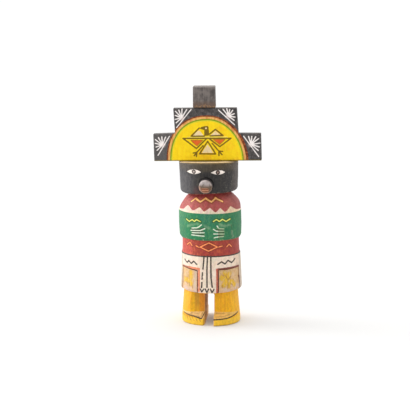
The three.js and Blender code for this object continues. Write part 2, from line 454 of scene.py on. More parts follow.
# Knife flats, by part: the heights they lie between, their edges and how flat they are.
FLATS = [
    (0, HEM, (-150, -120, -88, -62, -36, 0, 30, 52, 78, 110, 140, 170), 0.10),
    (HEM, WAIST, (-160, -125, -92, -68, -20, 14, 71, 100, 130, 165), 0.05),
    (WAIST, ARMS_BOTTOM, (-155, -120, -92, -64, -36, 18, 42, 66, 96, 130, 165), 0.12),
    (ARMS_BOTTOM, ARMS_TOP, (-160, -128, -97, -70, -34, 18, 49, 80, 112, 150), 0.07),
    (ARMS_TOP, NECK, (-150, -118, -84, -56, -32, -10, 14, 40, 62, 90, 120, 155), 0.10),
    (NECK, HEAD_TOP + 1, (-158, -130, -100, -66, -40, -12, 16, 44, 72, 104, 135, 165), 0.08),
]


def carve(points):
    """Moves the turned log's points to where the knife left them."""
    across, along, height = points.T.copy()
    bearing = np.degrees(np.arctan2(across, -along))
    for low, high, edges, share in FLATS:
        here = (height >= low) & (height < high) & (np.hypot(across, along) > 0.1)
        left = flats(bearing, edges, share)
        across = np.where(here, across * left, across)
        along = np.where(here, along * left, along)
    legs = height < HEM - 0.1
    along = np.where(legs, np.maximum(along, -front_limit(across, height)), along)
    back = np.where(height > HEEL_TOP, CALF_BACK, FOOT_RADIUS)
    along = np.where(legs, np.minimum(along, back), along)
    on_kilt = towards(height, HEM - 0.2, HEM) * (1 - towards(height, PANEL_TOP - PANEL_WALL, PANEL_TOP))
    slack = math.degrees(PANEL_WALL / HEM_RADIUS)
    sunk = np.zeros_like(height)
    for left, right in PANELS:
        inside = towards(bearing, left, left + slack) * (1 - towards(bearing, right - slack, right))
        sunk = np.maximum(sunk, inside * on_kilt)
    dents = sum(depth * (lumps(points, size, seed) - 1) for depth, size, seed in DENTS)
    side = towards(np.hypot(across, along), 10, 20)
    inward = side * (dents - PANEL_DEPTH * sunk) / np.maximum(1, np.hypot(across, along))
    across = across * (1 + inward)
    along = along * (1 + inward)
    rise = np.clip((height - LEAN_FROM) / (HEAD_TOP - LEAN_FROM), 0, 1)
    height = height + uneven(bearing, height) + rise * across * math.tan(LEAN)
    return np.stack([across + drift(height), along, height], axis=1)


log = bmesh.new()
add_line(log, figure_outline(), RING_STEP, CAP_STEP)
bmesh.ops.smooth_vert(
    log, verts=[point for point in log.verts if len(point.link_edges) == 2],
    factor=0.5, use_axis_x=True, use_axis_z=True,
)
spun(log, SPIN_STEPS)
figure_mesh = mesh_from(log, "carved_figure")
move_points(figure_mesh, carve(points_of(figure_mesh)))
figure = piece_from(figure_mesh, "carved_figure")


def sliced(shape, direction, low, high, step):
    """Cuts the shape's faces across at every step, so that its surface can be worked."""
    for place in np.arange(low + step, high, step):
        bmesh.ops.bisect_plane(
            shape, geom=shape.verts[:] + shape.edges[:] + shape.faces[:],
            plane_co=Vector(direction) * place, plane_no=direction, dist=0.0001,
        )


def drawn_out(shape, faces, push):
    """Gives faces a depth by drawing a copy of them out, and returns the copy's points."""
    drawn = bmesh.ops.extrude_face_region(shape, geom=faces)["geom"]
    points = [part for part in drawn if isinstance(part, bmesh.types.BMVert)]
    bmesh.ops.translate(shape, verts=points, vec=push)
    return points


def bevelled(shape, edges, width, segments=3):
    """Rounds edges off."""
    bmesh.ops.bevel(
        shape, geom=edges, offset=width, offset_type="OFFSET", segments=segments, profile=0.5,
        affect="EDGES", material=-1,
    )


def slot_cutter():
    """What the saw took out between the legs, wider in front where the left foot turns out."""
    reach = 2 * FOOT_RADIUS
    shape = bmesh.new()
    plan = [
        (SLOT["left"] - 0.2, reach), (SLOT["left"] - 0.2, 1 - SHIN_FRONT),
        (SLOT["left"] - SLOT["splay"], -FOOT_RADIUS - 1), (SLOT["right"], -FOOT_RADIUS - 1),
        (SLOT["right"], reach),
    ]
    floor = shape.faces.new([shape.verts.new((across, along, -1)) for across, along in plan])
    for point in drawn_out(shape, [floor], (0, 0, SLOT["top"] + 1)):
        point.co.x += 0.1
    long_edges = [
        edge for edge in shape.edges
        if edge.verts[0].co.z > 1 and edge.verts[1].co.z > 1
        and abs(edge.verts[0].co.x - edge.verts[1].co.x) < SLOT["splay"] + 0.1
    ]
    bevelled(shape, long_edges, SLOT["corner"])
    sliced(shape, (0, 0, 1), -1, SLOT["top"], SLOT["step"])
    sliced(shape, (0, 1, 0), -FOOT_RADIUS, FOOT_RADIUS, SLOT["step"])
    return piece_from(mesh_from(shape, "slot_cutter"), "slot_cutter")


def snout_rod(radius, start, end, rounding, step):
    """A dowel pointing out of the face, with a rounded end."""
    shape = bmesh.new()
    points = [(0, start), (radius, start), (radius, end - rounding)]
    for angle in (22.5, 45, 67.5, 90):
        inward = 1.3 * rounding * (1 - math.cos(math.radians(angle)))
        points.append((radius - inward, end - rounding + rounding * math.sin(math.radians(angle))))
    points.append((0, end))
    add_line(shape, points, step, 2 * step)
    spun(shape, max(24, int(2 * math.pi * radius / step)))
    forward = Matrix.Rotation(math.radians(90 + SNOUT["droop"]), 4, "X")
    place = Matrix.Translation((float(drift(SNOUT["height"])), 0, SNOUT["height"]))
    turn = Matrix.Rotation(math.radians(-SNOUT["turn"]), 4, "Z")
    bmesh.ops.transform(shape, matrix=place @ turn @ forward, verts=shape.verts)
    return shape


def cut_away(piece, cutter):
    """Takes the cutter's shape out of the piece, and clears the cutter away."""
    boolean = piece.modifiers.new("cut", "BOOLEAN")
    boolean.operation = "DIFFERENCE"
    boolean.solver = "EXACT"
    boolean.object = cutter
    bpy.context.view_layer.update()
    cut = bpy.data.meshes.new_from_object(piece.evaluated_get(bpy.context.evaluated_depsgraph_get()))
    piece.modifiers.clear()
    piece.data = cut
    bpy.data.objects.remove(cutter)


face_depth = CHIN_RADIUS + SEAT_GAP - SNOUT["seat"]
seat = snout_rod(SNOUT["radius"] + SEAT_GAP, face_depth - SEAT_GAP, SNOUT["reach"] + 4, 0.1, 0.7)
cut_away(figure, slot_cutter())
cut_away(figure, piece_from(mesh_from(seat, "seat_cutter"), "seat_cutter"))


def on_root(path):
    """A painted path, given in bearings and heights, in millimetres round the root."""
    return [(math.radians(bearing) * ROOT_RADIUS, height) for bearing, height in path]


def from_line(points, path, width):
    """How far points are from the edge of a brush stroke: less than 0 inside it."""
    nearest = np.full(len(points), 99.0)
    for start, end in zip(path, path[1:]):
        start = np.array(start)
        run = np.array(end) - start
        part = np.clip((points - start) @ run / (run @ run), 0, 1)
        gap = points - start - part[:, None] * run
        nearest = np.minimum(nearest, np.hypot(gap[:, 0], gap[:, 1]))
    return nearest - width / 2


def from_shape(points, corners):
    """How far points are from the edge of a filled shape: less than 0 inside it."""
    closed = list(corners) + [corners[0]]
    across, height = points.T
    inside = np.zeros(len(points), bool)
    for (x0, z0), (x1, z1) in zip(closed, closed[1:]):
        if z0 != z1:
            crossing = x0 + (height - z0) * (x1 - x0) / (z1 - z0)
            inside ^= ((z0 > height) != (z1 > height)) & (across < crossing)
    edge = from_line(points, closed, 0)
    return np.where(inside, -edge, edge)


def nearest_of(points, brush):
    """How far points are from the nearest stroke of a brush, given as (paths, width) pairs."""
    strokes = [(on_root(path), width) for paths, width in brush for path in paths]
    return np.min([from_line(points, path, width) for path, width in strokes], axis=0)


def nearest_shape(points, shapes):
    """How far points are from the nearest of several filled shapes."""
    return np.min([from_shape(points, corners) for corners in shapes], axis=0)


# What the brush added, as (bearing, height) paths, or (across, height) on the insteps, and the
# level lines between its colours.
KILT_TOP = 59.7
WAIST_LINE = 59.8
SASH_FOOT = 59.9
TEETH_LINE = 96.6
SHOULDER_ZIGZAG = [
    (-42.9, 104.8), (-35.3, 107.5), (-19.4, 105.3), (-9.4, 108.1), (4.9, 105.6), (15.5, 108.2),
    (30, 105.6),
]
TEETH = [
    (-77.6, 96.6), (-56.3, 98.2), (-49, 101.6), (-43.3, 101.1), (-32.1, 98.4), (-27.5, 98.6),
    (-19.3, 101.1), (-15.5, 100.6), (-8.3, 98), (-6.1, 98.1), (2.1, 101.1), (12.8, 97.5),
    (14.9, 97.4), (22.4, 100.8), (32.1, 97.2), (35.9, 97.8), (45.4, 101.5), (61.3, 97.9),
    (81.9, 97.2),
]
ARM_ZIGZAGS = [
    [(-44.7, 90.4), (-37, 88.7), (-30.6, 90.6), (-25.7, 89.2), (-21.4, 90.9), (-13.6, 89.4)],
    [(10, 89.8), (15.8, 91.4), (21.3, 89.7), (27.1, 91.3), (34.3, 89.3), (43.6, 91)],
]
FINGERS = [
    [(-31.5, 83.4), (-20.8, 84.1), (-16.3, 85.1), (-11.9, 86.9)],
    [(-34, 81.4), (-14.7, 81.9), (-5.7, 83.7)], [(-31.4, 79.5), (-7.1, 80.2)],
    [(-32.6, 77.6), (-7.3, 77.3)], [(16.8, 86), (20.1, 83.7), (29.8, 83.1)],
    [(10, 83.2), (15.4, 81.6), (29.8, 81.2)], [(10.3, 79.3), (30.2, 78.8)],
    [(11, 76), (16.9, 76.6), (29.3, 76.8)],
]
# Dark lines between the fingers; the last path is painted shade down the right hand's facet edge.
FINGER_GAPS_AND_FACET_SHADE = [
    [(-34, 82.5), (-21.9, 82.8), (-13.8, 83.2), (-7.7, 84.3)], [(-31, 80.6), (-8.8, 81.2)],
    [(-31, 78.6), (-7.2, 78.8)], [(15.4, 83), (28.9, 82.1)], [(19.1, 80.2), (29.8, 80)],
    [(18.7, 77.8), (29.3, 77.8)], [(18.8, 82.3), (19.7, 74.4)],
]
ARM_SMEARS = [
    [(-42.5, 84.3), (-32.3, 86.1), (-18, 87.3)], [(22.4, 87.2), (31.2, 85.4), (43.2, 86)],
    [(47.6, 80.3), (50, 75.6)], [(-6, 86), (2, 83.8)],
]
ARM_CRACK = [(45, 86.4), (46.6, 83.5), (45.8, 80.9), (47.8, 78.3), (48.2, 75.6)]
DIAMOND = [(-17.5, 67.4), (0.8, 71.3), (17.8, 67.7), (-0.4, 64.3)]
SASH_MARKS = [
    DIAMOND + DIAMOND[:1], [(-51.6, 68), (-42.2, 70.5), (-36.3, 67.8)],
    [(38.3, 67.2), (44.4, 69.2), (51, 66.8)], [(-27.1, 68.2), (-20, 67.1)],
    [(20.2, 67.6), (28, 68.3)],
]
KILT_ZIGZAGS = [
    [(-58.5, 55.2), (-49.4, 52.9), (-44.4, 54.9), (-37.7, 52.8), (-31.7, 55), (-24.3, 52.6)],
    [(17, 53.2), (24.7, 55.2), (31.8, 53.1), (38.8, 55.8), (47.8, 53.4), (57.8, 56.2)],
]
KILT_STRIPES = [
    [(-9.2, 60), (-10.6, 53.8), (-11.8, 49.2)], [(-13.1, 46), (-13.2, 43.3)],
    [(-13.4, 41.9), (-13.5, 40.8)], [(-13.6, 38.3), (-14, 34.2)],
    [(-2.6, 60), (-4.3, 47.1), (-3.6, 34.8)], [(3.9, 60), (3.4, 47.2), (3.7, 41.8), (6, 34.8)],
]
KILT_POINTS = [
    [(-17, 33), (-13.4, 30.3), (-10, 33)], [(-7, 33.1), (-3.6, 30), (-0.6, 33.2)],
    [(2.8, 33.2), (6, 29.8), (9.4, 33.1)],
]
SOLE_LINES = [
    [(-67.9, 8.9), (-32.1, 7.1), (-17.2, 5.9), (-15, 10.2)],
    [(8.5, 5.7), (22.5, 5.9), (36.6, 6.1), (49.3, 7), (70.8, 9.1)],
]
SOLE_HATCHING = [[(bearing, 6.6 - 0.01 * bearing), (bearing + 5, 3.6)] for bearing in range(-64, -20, 8)]
INSTEPS = [
    [(-23.8, 9.4), (-14, 7.2), (-4.3, 5.8), (-4, 11), (-12, 11), (-23.8, 10.2)],
    [(3.4, 5.8), (10, 6), (16, 6.9), (23.8, 9.2), (23.8, 10.2), (16, 11.1), (3.4, 11)],
]
INSTEP_STROKES = [
    [(-19, 9.4), (-13, 8.2), (-7, 7.3), (-6.2, 10)], [(-16, 9.9), (-9, 9.4)],
    [(5.5, 7.4), (12, 7.8), (18, 9.3)], [(5.5, 9.8), (13, 9.9)],
]
# Dark lines round the sunk panels: along their tops and down the right panel's left wall they are painted
# shadow of the recess; the rest are outlines.
PANEL_LINES_AND_SHADOWS = [
    [(-23.7, 47.4), (-23.2, 41.1), (-22.2, 29.3)], [(17.7, 47.8), (17.7, 29.3)],
    [(71, 41), (72.6, 30)], [(-67, 48.7), (-37.7, 47.9), (-25.6, 47.3)],
    [(21.4, 48.6), (37.2, 48.3), (53.7, 48.6)],
]
PANEL_SIDES = [[(71.3, 48.5), (70.6, 40)], [(-69, 47.8), (-67.6, 38), (-67.6, 31)]]
BORDERS = [
    [(-68, 48.9), (-36.3, 49.3), (-20, 49), (-19.3, 31)],
    [(69.6, 49.2), (36, 49.1), (15.4, 48.9), (15.6, 29.6)],
]
BLOSSOMS = [
    [(-40.3, 45), (-40.7, 41.4)], [(-58.3, 38.3), (-50.3, 38.2)], [(-42.4, 38.2), (-39.2, 36.4)],
    [(32.2, 45.2), (35.6, 41.2)], [(42, 44), (39.5, 41)], [(25.4, 41.6), (33, 39.4)],
    [(28.7, 36), (34.5, 37.4)], [(51.1, 37), (44.5, 38)], [(55.6, 34.4), (51, 37)],
    [(41.3, 34.4), (40, 36.8)],
]
BLOSSOM_STALKS = [
    [(38.5, 39.5), (38.4, 32.5)], [(38.5, 39.5), (47, 42)], [(33.5, 42.8), (38, 39.8)],
    [(26, 35.6), (25.9, 33.4)], [(45.5, 36.2), (50, 34.6)], [(-44.1, 36.6), (-43.6, 34)],
    [(-52, 36.6), (-50, 35.2)], [(-35, 35), (-34.6, 32.6)],
]
EYES = [
    [
        (-43.3, 130.5), (-34, 132.3), (-24.8, 133), (-17, 132.4), (-10, 130.9), (-17, 129.5),
        (-24.8, 128.8), (-35, 129.3),
    ],
    [
        (8, 130.4), (15, 131.8), (22.3, 132.4), (31, 131.8), (38, 130.3), (31, 128.9),
        (22.3, 128.5), (15, 129.2),
    ],
]
IRISES = [(-25.7, 130.9), (22.1, 130.45)]
BRUSHES = {
    "white": [(FINGERS, 0.88)],
    "bright": [([SHOULDER_ZIGZAG], 1.2), (ARM_ZIGZAGS, 0.9), (SASH_MARKS, 0.9)],
    "dark": [
        (KILT_ZIGZAGS, 1.25), (KILT_STRIPES, 1.3), (KILT_POINTS, 1.1), (SOLE_LINES, 1.0),
        (PANEL_LINES_AND_SHADOWS, 1.1),
    ],
    "shadowed": [(FINGER_GAPS_AND_FACET_SHADE, 0.8), ([ARM_CRACK], 0.55)],
    "brown": [(BLOSSOM_STALKS, 0.9), (SOLE_HATCHING, 0.9), (PANEL_SIDES, 1.2)],
    "smear": [(ARM_SMEARS, 1.6)],
    "border": [(BORDERS, 1.9)],
    "blossom": [(BLOSSOMS, 2.6)],
}
LEVEL_LINE = 0.5
BARE_LEVEL = 134.2
CAMBER = 0.0013
CROWN_SLANT = 0.182


def paint_figure(mesh):
    """Measures every point of the figure against each of the brush's marks."""
    across, along, height = points_of(mesh).T
    across = across - drift(height)
    bearing = np.degrees(np.arctan2(across, -along))
    rise = np.clip((height - LEAN_FROM) / (HEAD_TOP - LEAN_FROM), 0, 1)
    height = height - uneven(bearing, height) - rise * across * math.tan(LEAN)
    spot = np.stack([np.radians(bearing) * ROOT_RADIUS, height], axis=1)
    facing = np.stack([across, height], axis=1)
    behind = np.where(along > -2, 9.0, 0.0)

    teeth = from_shape(spot, on_root([(-100, TEETH_LINE)] + TEETH + [(100, TEETH_LINE)]))
    instep = nearest_shape(facing, INSTEPS) + behind
    instep_strokes = np.min([from_line(facing, path, 0.6) for path in INSTEP_STROKES], axis=0)
    panels = [
        on_root([(left, HEM - 0.2), (right, HEM - 0.2), (right, PANEL_TOP), (left, PANEL_TOP)])
        for left, right in PANELS
    ]
    marks = {name: nearest_of(spot, brush) for name, brush in BRUSHES.items()}
    teeth = np.minimum(teeth, np.abs(height - TEETH_LINE) - LEVEL_LINE)
    marks["white"] = np.minimum(marks["white"], teeth)
    marks["dark"] = np.minimum(marks["dark"], np.abs(height - WAIST_LINE) - LEVEL_LINE)
    marks["brown"] = np.minimum(marks["brown"], np.maximum(instep_strokes, instep))
    marks["eyes"] = nearest_shape(spot, [on_root(eye) for eye in EYES])
    marks["iris"] = np.min([np.hypot(*(spot - on_root([iris])[0]).T) for iris in IRISES], axis=0)
    marks["diamond"] = from_shape(spot, on_root(DIAMOND))
    marks["panel"] = nearest_shape(spot, panels)
    marks["instep"] = instep
    marks["carved_height"] = height
    marks["bearing"] = bearing
    marks["bare"] = height + CROWN_SLANT * np.minimum(along, -2) - BARE_LEVEL - CAMBER * across ** 2
    slot_middle = (SLOT["left"] + SLOT["right"]) / 2
    inner = (np.abs(across - slot_middle) < 4.3) & (height < SLOT["top"] + 0.2)
    marks["between_legs"] = np.where(inner, 1.0, 0.0)
    for name, values in marks.items():
        paint_on(mesh, name, values)


paint_figure(figure.data)
rounded_edges(figure.data, 38)
set_down(figure.data)

figure_look, wire = new_material("painted root")
place = wire.node("TexCoord", output=3)


def read(wire, name):
    """A number that is kept at the mesh's points."""
    return wire.node("Attribute", {"attribute_name": name}, output=2)


def stroke(wire, name, wobble, soft=0.14, wider=0.0):
    """How fully a kind of brush mark covers: 1 inside its edge and 0 outside."""
    return (read(wire, name) - wider + wobble).ramp(-soft, soft, 1, 0)


height = read(wire, "carved_height")
bearing = read(wire, "bearing")
wobble = (mottle(wire, place, 0.0012, 2) - 0.5) * 0.35
slow = mottle(wire, place, 0.009)
patches = mottle(wire, place, 0.005, 3, shift=3)
blotches = mottle(wire, place, 0.0028, 4, shift=7)
brushed = mottle(wire, place, 0.0022, 4, (1, 1, 0.12), shift=5)
grain = mottle(wire, place, 0.0011, 4, (1, 1, 0.07))
speckle = mottle(wire, place, 0.0005, 2)
flecks = mottle(wire, place, 0.0017, 3, (1, 1, 0.6), shift=9)
flecked = flecks.ramp(0.54, 0.62)
unflecked = flecks.ramp(0.46, 0.38)

FULL = 140
GROUNDS = (
    "CONSTANT",
    (0, colour(234, 172, 14)),
    ((HEM - 0.15) / FULL, colour(234, 216, 196)),
    (KILT_TOP / FULL, colour(166, 66, 48)),
    ((ARMS_BOTTOM - 0.2) / FULL, colour(48, 122, 80)),
    (TEETH_LINE / FULL, colour(172, 82, 76)),
    ((NECK + 0.1) / FULL, colour(50, 47, 46)),
)
BARE_WOOD = colour(226, 202, 166)
INK = colour(40, 29, 25)
BROWN = colour(142, 92, 50)
base = wire.node("ValToRGB", {"stops": GROUNDS}, {0: (height + wobble) / FULL})


def between(low, high, edge=0.4):
    """1 from one carved height to another."""
    return (height - low).ramp(0, edge) * (height - high).ramp(-edge, 0, 1, 0)


def around(middle, half, soft):
    """1 within so many degrees of a bearing."""
    return (bearing - middle).size().ramp(half, half + soft, 1, 0)


# What tints one side of the front, painted light and shade among it, fades out before it reaches the
# back.
front = bearing.size().ramp(95, 140, 1, 0)

# Legs: bright yellow on the left, then painted shade on the left shin's front facet, olive at its edge
# and orange-brown across it, all in upright streaks.
legs = height.ramp(HEM - 0.3, HEM - 0.1, 1, 0)
shins = legs * height.ramp(10.5, 12)
base = coat(
    base,
    (legs * front * bearing.ramp(-46, -36, 0.8, 0), 222, 160, 12),
    (legs * brushed.ramp(0.46, 0.36) * 0.45, 244, 190, 20),
    # painted shade on the left shin's front facet: olive at its edge, orange-brown across it
    (shins * around(-31, 2, 6) * height.ramp(12, 20, 0.3, 0.8), 186, 136, 40),
    (shins * around(-19, 4, 7) * 0.85, 212, 132, 26),
    (legs * brushed.ramp(0.52, 0.62) * 0.5, 204, 132, 14),
    (legs * blotches.ramp(0.56, 0.7) * 0.35, 166, 112, 22),
    (legs * height.ramp(5.5, 6.5, 0.5, 0), 236, 198, 62),
    (legs * height.ramp(0.3, 1.4, 0.5, 0), 130, 104, 36),
)
instep_colour = bearing.ramp(-1, 1).mix(colour(236, 192, 126), colour(220, 174, 92))
base = (stroke(wire, "instep", wobble + (flecks - 0.5) * 1.5) * 0.9).mix(base, instep_colour)
# The saw cut between the legs is bare wood, with painted shade growing darker up towards the slot's top
# under the kilt.
sawn_wood_and_shade = height.ramp(5, 18).mix(colour(236, 194, 138), colour(198, 146, 84))
base = (read(wire, "between_legs") * 0.8).mix(base, sawn_wood_and_shade)
# Kilt: off-white, stained pink and grey, with painted shade on its left front, its right front and both
# sides; its two panels are tan with yellow blossoms.
kilt = between(HEM - 0.1, KILT_TOP)
base = coat(
    base,
    (kilt * patches.ramp(0.5, 0.7) * 0.55, 238, 202, 182),
    (kilt * slow.ramp(0.5, 0.64) * 0.4, 206, 198, 172),
    (kilt * blotches.ramp(0.64, 0.74) * 0.3, 214, 140, 116),
    (kilt * flecked * 0.45, 214, 200, 160),
    (kilt * unflecked * 0.4, 244, 208, 192),
    # painted shade: the left front, both sides and the right front are darkened
    (kilt * front * bearing.ramp(-62, -20, 0.8, 0), 224, 204, 188),
    (kilt * around(-78, 5, 12) * 0.7, 180, 172, 150),
    (kilt * front * bearing.ramp(44, 66, 0, 0.7), 212, 184, 160),
    (kilt * around(82, 4, 10) * 0.7, 176, 164, 146),
)
panel = stroke(wire, "panel", wobble)
base = coat(
    base,
    (panel, 210, 174, 124),
    # painted highlight: the pale strip on the lit wall at the left panel's right side
    (panel * around(-29, 2.5, 1.5) * 0.8, 204, 184, 166),
    (panel * blotches.ramp(0.5, 0.66) * 0.5, 184, 138, 90),
    (panel * height.ramp(30, 36, 0.5, 0), 214, 170, 142),
    (panel * patches.ramp(0.5, 0.6) * height.ramp(32, 40, 0.5, 0.15), 206, 190, 192),
)
ragged = (blotches - 0.5) * 5
base = (stroke(wire, "blossom", ragged, 0.6, 1.3) * panel * 0.4).mix(base, colour(158, 112, 48))
petals = stroke(wire, "blossom", ragged + wobble * 2, 0.8, 0.7) * panel
base = coat(
    base,
    (petals * 0.9, 218, 172, 34),
    (panel * flecks.ramp(0.56, 0.68) * 0.5, 160, 108, 70),
    (panel * flecks.ramp(0.46, 0.36) * 0.35, 232, 206, 170),
)
on_left = bearing.ramp(-50, -36).mix(colour(168, 96, 64), colour(220, 124, 86))
# On the right panel's left border, the dark part right of 17 degrees is painted shadow of the recess
# wall.
on_right = bearing.ramp(15.6, 17).mix(colour(190, 84, 58), colour(112, 38, 24))
border_colour = bearing.ramp(-1, 1).mix(on_left, on_right)
border = stroke(wire, "border", wobble * 2) * blotches.ramp(0.3, 0.45, 0.55, 0.95)
base = border.mix(base, border_colour)
# Sash: brick red, with painted light on the facet left of a knife edge, painted shade towards the right,
# and brown inside its diamond.
sash = between(SASH_FOOT, ARMS_BOTTOM - 0.2)
base = coat(
    base,
    # painted light on the lit facet left of the knife edge
    (sash * front * bearing.ramp(-38, -34, 0.75, 0), 196, 78, 62),
    (sash * patches.ramp(0.5, 0.66) * 0.5, 138, 44, 46),
    (sash * flecked * 0.5, 192, 90, 56),
    (sash * unflecked * 0.45, 160, 40, 62),
    # painted shade towards the right
    (sash * front * bearing.ramp(20, 40, 0, 0.4), 140, 48, 46),
    (stroke(wire, "diamond", wobble) * 0.7, 140, 52, 22),
)
# Arms: green, with a bluish cast in the middle, worn streaks and painted shade towards the right.
arms = between(ARMS_BOTTOM - 0.2, ARMS_TOP)
base = coat(
    base,
    (arms * around(-3, 8, 16) * height.ramp(84, 92) * 0.4, 50, 122, 108),
    (arms * brushed.ramp(0.54, 0.72) * 0.4, 84, 142, 94),
    (arms * blotches.ramp(0.54, 0.66) * 0.45, 32, 92, 58),
    (arms * flecked * 0.45, 92, 142, 84),
    (arms * unflecked * 0.45, 22, 128, 96),
    (arms * around(-30, 12, 10) * 0.4, 26, 126, 76),
    # painted shade towards the right
    (arms * front * bearing.ramp(18, 36, 0, 0.35), 30, 98, 62),
    (stroke(wire, "smear", (blotches - 0.5) * 4, 1.1) * 0.5, 146, 176, 140),
)
# Shoulders: maroon over rose, with painted shade towards the right and pale teeth along the arms' upper
# edge.
dome = between(TEETH_LINE, NECK)
base = coat(
    base,
    (dome * patches.ramp(0.48, 0.64) * 0.5, 136, 50, 58),
    (dome * blotches.ramp(0.54, 0.66) * 0.45, 186, 108, 92),
    (dome * flecked * 0.55, 132, 66, 44),
    (dome * unflecked * 0.5, 176, 68, 84),
    # painted shade towards the right
    (dome * front * bearing.ramp(20, 60, 0, 0.55), 136, 76, 70),
)
# Mask: black gone grey and brown, rubbed at its rim and smeared with red under the cheek, with a painted
# sheen on its left front, painted shade right of its middle, and painted rim light with wear along its
# right edge.
mask = height.ramp(NECK, NECK + 0.3)
base = coat(
    base,
    (mask * patches.ramp(0.46, 0.66) * 0.5, 70, 65, 58),
    (mask * brushed.ramp(0.56, 0.72) * 0.4, 92, 84, 80),
    # painted sheen on the left front
    (mask * front * bearing.ramp(-44, -14, 0.5, 0), 94, 92, 96),
    (mask * flecks.ramp(0.56, 0.66) * 0.4, 86, 82, 72),
    (mask * flecks.ramp(0.44, 0.36) * 0.4, 34, 33, 40),
    # painted shade right of the middle
    (mask * front * bearing.ramp(-4, 12, 0, 0.3), 34, 34, 36),
    (mask * around(-22, 1, 10) * height.ramp(113, 121, 0.5, 0), 94, 50, 52),
    (mask * height.ramp(129, 134) * 0.3, 108, 92, 66),
    (mask * around(24, 10, 16) * height.ramp(131, 136) * 0.4, 78, 64, 40),
    # painted rim light and wear along the right edge
    (mask * front * bearing.ramp(52, 66, 0, 0.35), 104, 92, 88),
)
scraped = mottle(wire, place, 0.0014, 3, (0.3, 1, 1), shift=11).ramp(0.56, 0.66)
scraped = scraped * bearing.ramp(26, 48) * front
base = (mask * scraped * 0.5).mix(base, colour(120, 116, 104))
under_rim = (read(wire, "bare") + 1.6).ramp(0, 1.4) * blotches.ramp(0.42, 0.6)
base = (under_rim * 0.6).mix(base, colour(104, 84, 56))

# The fine marks: teeth, fingers, eyes, zigzags and lines, tinted by the part they lie on.
above_sash = height.ramp(74, 75)
on_fingers = height.ramp(87, 88, 1, 0)
on_shoulders = height.ramp(97, 98)
white = blotches.ramp(0.4, 0.6).mix(colour(236, 202, 192), colour(224, 210, 178))
white = coat(
    white,
    (bearing.ramp(-60, -30, 0.85, 0) * front * on_shoulders, 222, 186, 172),
    (around(52, 18, 4) * height.ramp(95, 96) * 0.6, 216, 186, 140),
    (on_fingers * 0.7, 222, 240, 220),
    # painted shade: the right hand's fingers dim right of its facet edge
    (bearing.ramp(18.3, 19) * on_fingers * 0.8, 150, 172, 128),
)
# Dark finger gaps, painted shade down the right hand's facet edge, and the crack in the paint.
base = (stroke(wire, "shadowed", wobble) * 0.8).mix(base, colour(62, 42, 34))
base = (stroke(wire, "white", wobble) * 0.96).mix(base, white)
base = (stroke(wire, "eyes", wobble, wider=0.45) * 0.7).mix(base, INK)
base = stroke(wire, "eyes", wobble).mix(base, colour(240, 228, 218))
iris = read(wire, "iris") + wobble
iris_colour = bearing.ramp(0, 1).mix(colour(140, 112, 100), colour(112, 76, 60))
base = (iris.ramp(1.8, 2, 1, 0) * bearing.ramp(0, 1, 0.4, 0.85)).mix(base, iris_colour)
base = ((iris - 1.35).size().ramp(0.42, 0.66, 1, 0) * 0.92).mix(base, INK)
halo_colour = above_sash.mix(colour(126, 48, 30), colour(40, 78, 30))
halo_colour = on_shoulders.mix(halo_colour, colour(132, 62, 30))
base = (stroke(wire, "bright", wobble, 0.5, wider=0.8) * 0.8).mix(base, halo_colour)
bright_colour = above_sash.mix(colour(255, 150, 90), colour(226, 228, 112))
bright_colour = on_shoulders.mix(bright_colour, colour(255, 194, 116))
base = stroke(wire, "bright", wobble).mix(base, bright_colour)
base = (stroke(wire, "brown", wobble * 2, 0.3) * 0.6).mix(base, BROWN)
# Dark strokes are ink, turning red-brown near the panels, where some of them are painted shadow of the
# recess.
ink_and_panel_shadow = read(wire, "panel").size().ramp(1.3, 1.9, 1, 0).mix(INK, colour(94, 40, 28))
base = (stroke(wire, "dark", wobble * 1.6) * blotches.ramp(0.25, 0.4, 0.7, 0.96)).mix(base, ink_and_panel_shadow)
# Wear: the carved edges are rubbed, and the paint is gone from the crown's rim; just in front of the
# board's foot, the bare rim gets a painted olive shadow.
for worn_edge in (HEM + 0.5, ARMS_BOTTOM + 0.6, NECK + 0.8):
    rubbed = (height - worn_edge).size().ramp(0.2, 0.8, 1, 0) * flecks.ramp(0.54, 0.64)
    base = (rubbed * 0.45).mix(base, BARE_WOOD)
crown = height.ramp(NECK + 10, NECK + 11)
bare = read(wire, "bare") + wobble
worn_front = bearing.ramp(48, 66, 1, 0.1) * bearing.ramp(-78, -60, 0.3, 1)
rim = crown * bare.ramp(-0.25, 0.25) * worn_front.most(bearing.size().ramp(86, 90))
base = rim.mix(base, shaded(wire, BARE_WOOD, grain * 0.3 + 0.85))
# painted shadow of the board on the bare rim
base = (rim * around(0, 84, 4) * (bare - 1.1).ramp(-0.25, 0.3) * 0.85).mix(base, colour(112, 96, 50))
tone = 0.755 + slow * 0.08 + patches * 0.08 + (grain - 0.5) * 0.3
tone = tone + blotches.ramp(0.38, 0.62) * 0.13
tone = tone + brushed.ramp(0.4, 0.6) * 0.1 + flecks.ramp(0.38, 0.62) * 0.12
base = shaded(wire, base, tone)
rough = 0.46 + patches * 0.2 + speckle * 0.1
relief = grain * 0.6 + speckle * 0.2 + patches * 0.5 + brushed * 0.3
painted(wire, base, rough, relief, 0.00028, 0.35)
figure.data.materials.clear()
figure.data.materials.append(figure_look)
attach(figure, "root")
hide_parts("body")

